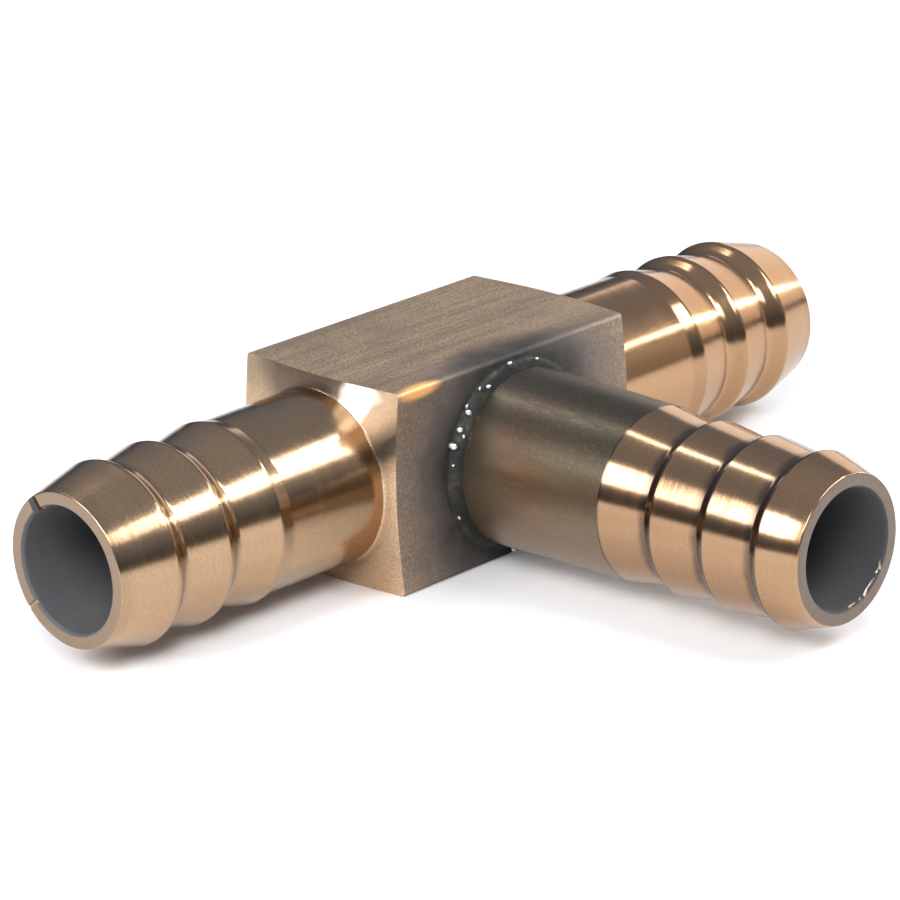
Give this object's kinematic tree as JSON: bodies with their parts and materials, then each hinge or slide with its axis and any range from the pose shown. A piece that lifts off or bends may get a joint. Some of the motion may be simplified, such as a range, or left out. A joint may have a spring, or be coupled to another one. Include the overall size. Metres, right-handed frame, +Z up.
{
  "type": "barbed tee connector",
  "caption": "Brass hose tee: square bar block with a hose barb turned on each end, and a barbed spigot brazed into one side at a right angle to the run.",
  "frame": {"origin": "centre of the block's underside, straight under the crossing of the run's bore and the branch's bore", "axes": "+X along the run, -Y out of the branch's mouth, +Z up, out of the block's top face"},
  "size_m": [0.0764, 0.048, 0.016],
  "materials": {
    "machined_brass": "turned and as-drawn, lightly oxidised",
    "heat_tinted_brass": "bright on the teeth, dull heat oxide on the neck",
    "braze_filler": "dark, rough, with a few bright grains"
  },
  "bodies": {
    "root": {"run_body": "machined_brass", "branch_spigot": "heat_tinted_brass", "braze_fillet": "braze_filler"}
  },
  "joints": []
}
